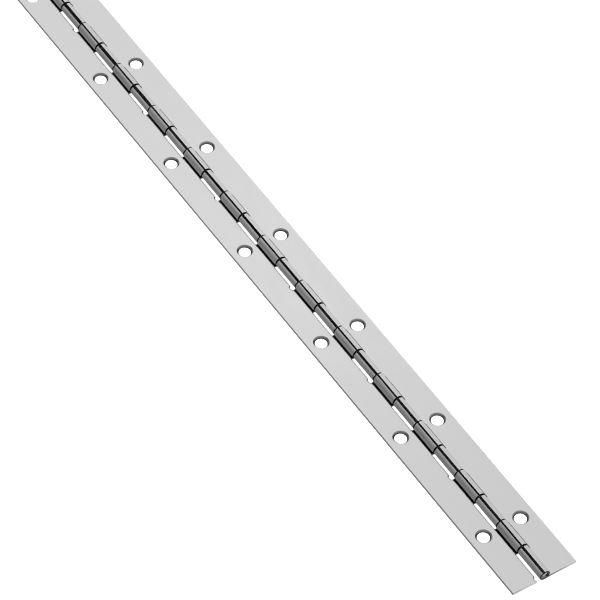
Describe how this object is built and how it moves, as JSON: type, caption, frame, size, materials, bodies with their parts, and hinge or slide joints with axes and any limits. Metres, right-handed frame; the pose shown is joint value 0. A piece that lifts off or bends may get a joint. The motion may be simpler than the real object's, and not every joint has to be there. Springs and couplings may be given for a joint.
{
  "type": "continuous hinge",
  "caption": "Continuous (piano) hinge: two long punched sheet-metal leaves with rolled knuckles that turn on one full-length pin.",
  "frame": {"origin": "on the mounting plane (the leaves' backs, lying open flat), below the pin's axis, at the middle of the hinge's length", "axes": "+X along the pin, +Y from the pin towards the frame leaf's outer edge, +Z away from the mounting plane, on the side of the barrel and the countersinks"},
  "size_m": [0.6096, 0.027, 0.0043],
  "materials": {
    "plated_sheet": "bright nickel-plated cold-rolled steel sheet, mirror-like, with faint lines along the rolling direction and finely mottled knuckles",
    "pin_wire": "plain drawn steel wire, satin, with fine lines along its length and cropped ends"
  },
  "bodies": {
    "frame_side": {"frame_leaf": "plated_sheet", "hinge_pin": "pin_wire"},
    "door_side": {"door_leaf": "plated_sheet"}
  },
  "joints": [
    {"name": "pin_hinge", "type": "hinge", "parent": "frame_side", "child": "door_side", "pos_m": [0, 0, 0.00213], "axis": [-1, 0, 0], "range_deg": [-105, 189]}
  ]
}
